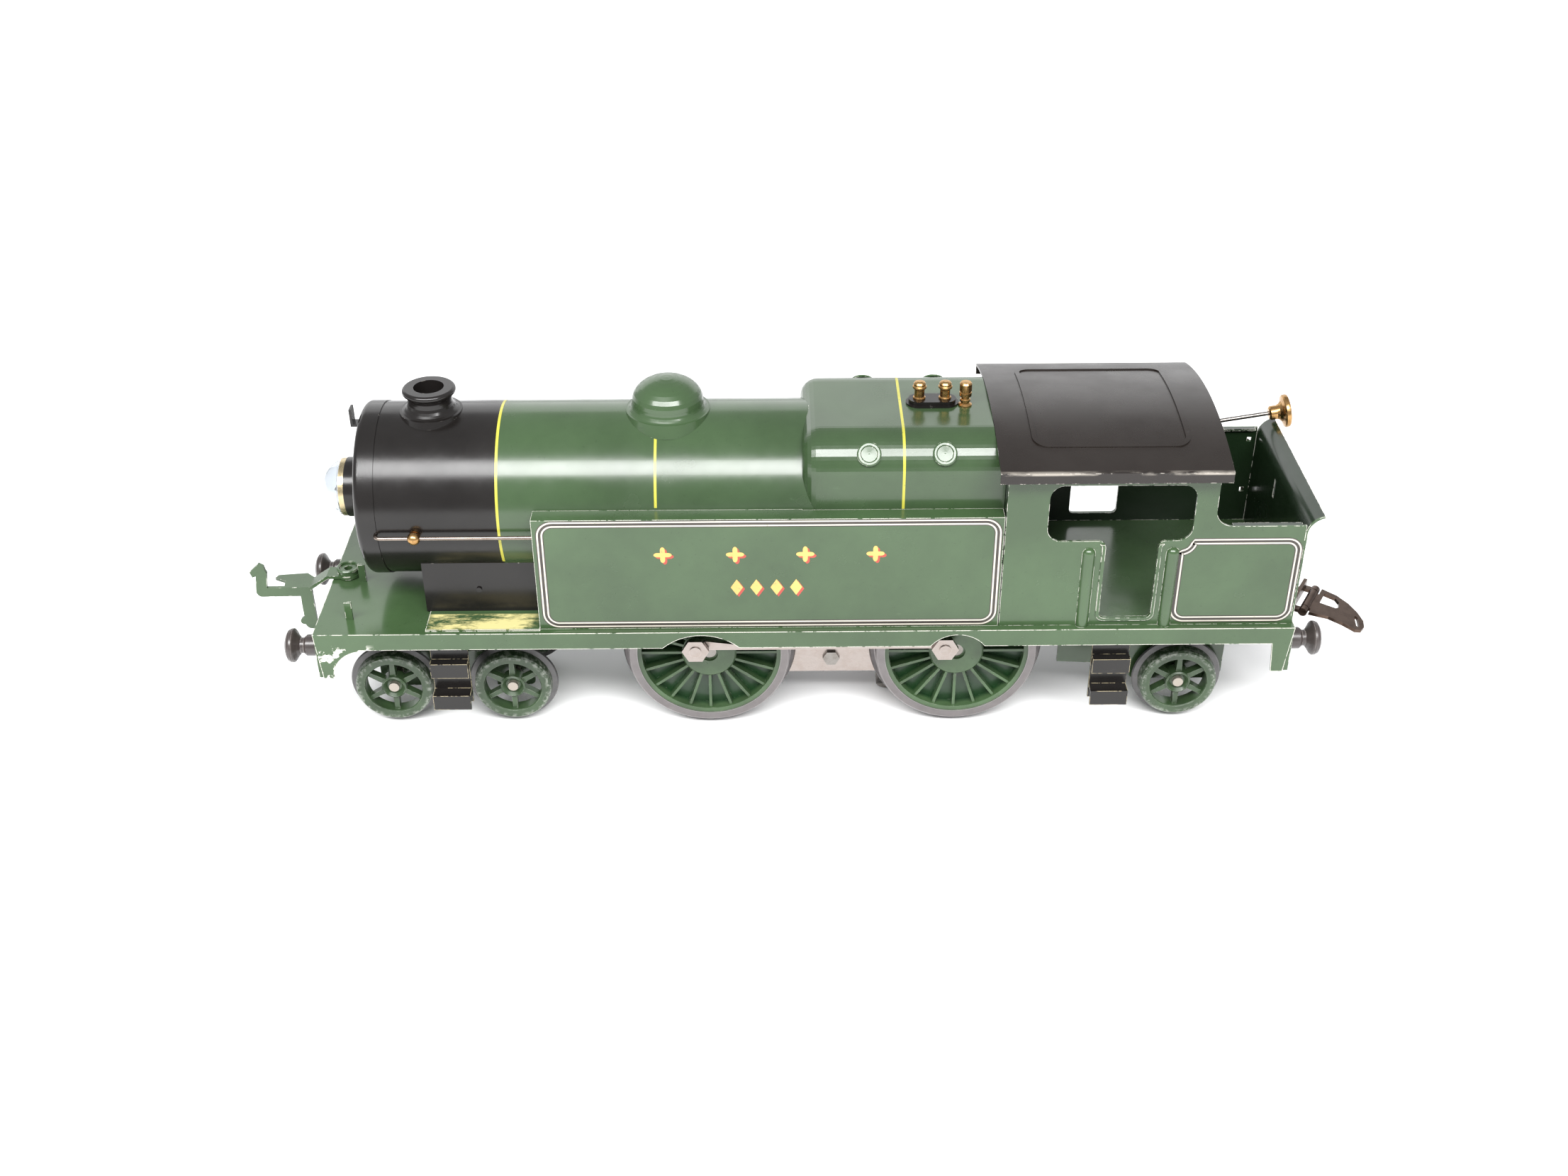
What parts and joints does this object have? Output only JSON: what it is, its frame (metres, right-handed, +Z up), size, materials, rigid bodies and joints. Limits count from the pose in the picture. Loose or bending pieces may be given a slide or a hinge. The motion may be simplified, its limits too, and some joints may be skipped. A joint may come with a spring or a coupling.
{
  "type": "model steam locomotive",
  "caption": "Tinplate 0 gauge model tank engine with coupled driving wheels, electric motor and gears, turning bogie and pony truck, hook and link couplings.",
  "frame": {"origin": "on the rail plane under the wheel flanges, centred on the whole length and width", "axes": "+X forward toward the smokebox, +Y toward the engine's left side, +Z up"},
  "size_m": [0.324, 0.067, 0.1044],
  "materials": {
    "green_enamel": "gloss",
    "black_enamel": "gloss",
    "roof_enamel": "gloss",
    "buffer_metal": "satin, worn",
    "brass": "polished",
    "lamp_glass": "clear",
    "nickel": "satin",
    "steel": "satin",
    "core_iron": "plain",
    "coil_enamel": "gloss",
    "insulation": "matte",
    "wheel_enamel": "gloss, worn at the rims",
    "bronze_finish": "satin"
  },
  "bodies": {
    "chassis": {"footplate": "green_enamel", "front_buffer_beam": "green_enamel", "rear_buffer_beam": "green_enamel", "buffers": "buffer_metal", "smokebox": "black_enamel", "smokebox_front": "black_enamel", "lamp_socket": "nickel", "lamp_bulb": "lamp_glass", "lamp_irons": "green_enamel", "boiler": "green_enamel", "chimney": "black_enamel", "dome": "green_enamel", "firebox": "green_enamel", "washout_plugs": "green_enamel", "safety_valve_base": "black_enamel", "safety_valves": "brass", "whistle": "brass", "side_tank_left": "green_enamel", "side_tank_right": "green_enamel", "cab_front": "green_enamel", "cab_side_left": "green_enamel", "cab_side_right": "green_enamel", "bunker_rear": "green_enamel", "cab_roof": "roof_enamel", "saddle": "black_enamel", "handrails": "nickel", "handrail_knobs": "brass", "front_steps": "black_enamel", "rear_steps": "black_enamel", "motor_plate_left": "nickel", "motor_plate_right": "nickel", "motor_studs": "steel", "field_magnet": "core_iron", "field_coil": "coil_enamel", "brush_holders": "brass", "pickup_plate": "insulation", "truck_pivots": "steel"},
    "front_axle": {"front_driving_axle": "steel", "front_driving_wheel_left": "wheel_enamel", "front_driving_wheel_right": "wheel_enamel", "front_crankpins": "steel", "drive_gear": "brass"},
    "rear_axle": {"rear_driving_axle": "steel", "rear_driving_wheel_left": "wheel_enamel", "rear_driving_wheel_right": "wheel_enamel", "rear_crankpins": "steel"},
    "rod_left": {"coupling_rod_left": "nickel"},
    "rod_right": {"coupling_rod_right": "nickel"},
    "armature": {"armature": "core_iron"},
    "idler": {"idler_gear": "brass"},
    "shoe": {"collector_shoe": "steel"},
    "bogie": {"bogie_frame": "green_enamel"},
    "bogie_front_wheels": {"bogie_front_wheelset": "wheel_enamel"},
    "bogie_rear_wheels": {"bogie_rear_wheelset": "wheel_enamel"},
    "pony": {"pony_frame": "green_enamel"},
    "pony_wheels": {"pony_wheelset": "wheel_enamel"},
    "front_coupling": {"front_coupling": "green_enamel"},
    "rear_coupling": {"rear_coupling": "bronze_finish"},
    "rear_link": {"rear_link": "bronze_finish"},
    "reversing_rod": {"reversing_rod": "brass"}
  },
  "joints": [
    {"name": "front_axle_spin", "type": "hinge", "parent": "chassis", "child": "front_axle", "pos_m": [0.02769, 0, 0.0252], "axis": [0, 1, 0], "continuous": true},
    {"name": "rear_axle_spin", "type": "hinge", "parent": "chassis", "child": "rear_axle", "pos_m": [-0.04401, 0, 0.0252], "axis": [0, 1, 0], "continuous": true},
    {"name": "rod_left_turn", "type": "hinge", "parent": "front_axle", "child": "rod_left", "pos_m": [0.03144, 0.0212, 0.02895], "axis": [0, 1, 0], "continuous": true},
    {"name": "rod_right_turn", "type": "hinge", "parent": "front_axle", "child": "rod_right", "pos_m": [0.02394, -0.0212, 0.02895], "axis": [0, 1, 0], "continuous": true},
    {"name": "idler_spin", "type": "hinge", "parent": "chassis", "child": "idler", "pos_m": [0.00643, 0, 0.03425], "axis": [0, 1, 0], "continuous": true},
    {"name": "armature_spin", "type": "hinge", "parent": "chassis", "child": "armature", "pos_m": [-0.00816, 0, 0.036], "axis": [0, 1, 0], "continuous": true},
    {"name": "shoe_lift", "type": "slide", "parent": "chassis", "child": "shoe", "axis": [0, 0, 1], "range_m": [0, 0.0014], "stiffness_N_per_m": 100, "springref_m": -0.002},
    {"name": "bogie_swivel", "type": "hinge", "parent": "chassis", "child": "bogie", "pos_m": [0.10319, 0, 0.02], "axis": [0, 0, 1], "range_deg": [-8, 8]},
    {"name": "bogie_front_spin", "type": "hinge", "parent": "bogie", "child": "bogie_front_wheels", "pos_m": [0.12069, 0, 0.01305], "axis": [0, 1, 0], "continuous": true},
    {"name": "bogie_rear_spin", "type": "hinge", "parent": "bogie", "child": "bogie_rear_wheels", "pos_m": [0.08574, 0, 0.01305], "axis": [0, 1, 0], "continuous": true},
    {"name": "pony_swing", "type": "hinge", "parent": "chassis", "child": "pony", "pos_m": [-0.07061, 0, 0.03], "axis": [0, 0, 1], "range_deg": [-6, 6]},
    {"name": "pony_spin", "type": "hinge", "parent": "pony", "child": "pony_wheels", "pos_m": [-0.10991, 0, 0.01305], "axis": [0, 1, 0], "continuous": true},
    {"name": "front_coupling_swing", "type": "hinge", "parent": "chassis", "child": "front_coupling", "pos_m": [0.13359, 0, 0.0415], "axis": [0, 0, 1], "range_deg": [-15, 15]},
    {"name": "rear_coupling_swing", "type": "hinge", "parent": "chassis", "child": "rear_coupling", "pos_m": [-0.13421, 0, 0.0345], "axis": [0, 0, 1], "range_deg": [0, 60]},
    {"name": "rear_link_lift", "type": "hinge", "parent": "rear_coupling", "child": "rear_link", "pos_m": [-0.14789, 0.0079, 0.0345], "axis": [-0.5, -0.866, 0], "range_deg": [-80, 0]},
    {"name": "reversing_slide", "type": "slide", "parent": "chassis", "child": "reversing_rod", "axis": [-0.9863, 0, 0.165], "range_m": [0, 0.008]}
  ],
  "couplings": [
    {"joint": "rear_axle_spin", "follows": "front_axle_spin", "ratio": 1},
    {"joint": "rod_left_turn", "follows": "front_axle_spin", "ratio": -1},
    {"joint": "rod_right_turn", "follows": "front_axle_spin", "ratio": -1},
    {"joint": "idler_spin", "follows": "front_axle_spin", "ratio": -1.2},
    {"joint": "armature_spin", "follows": "front_axle_spin", "ratio": 3}
  ]
}
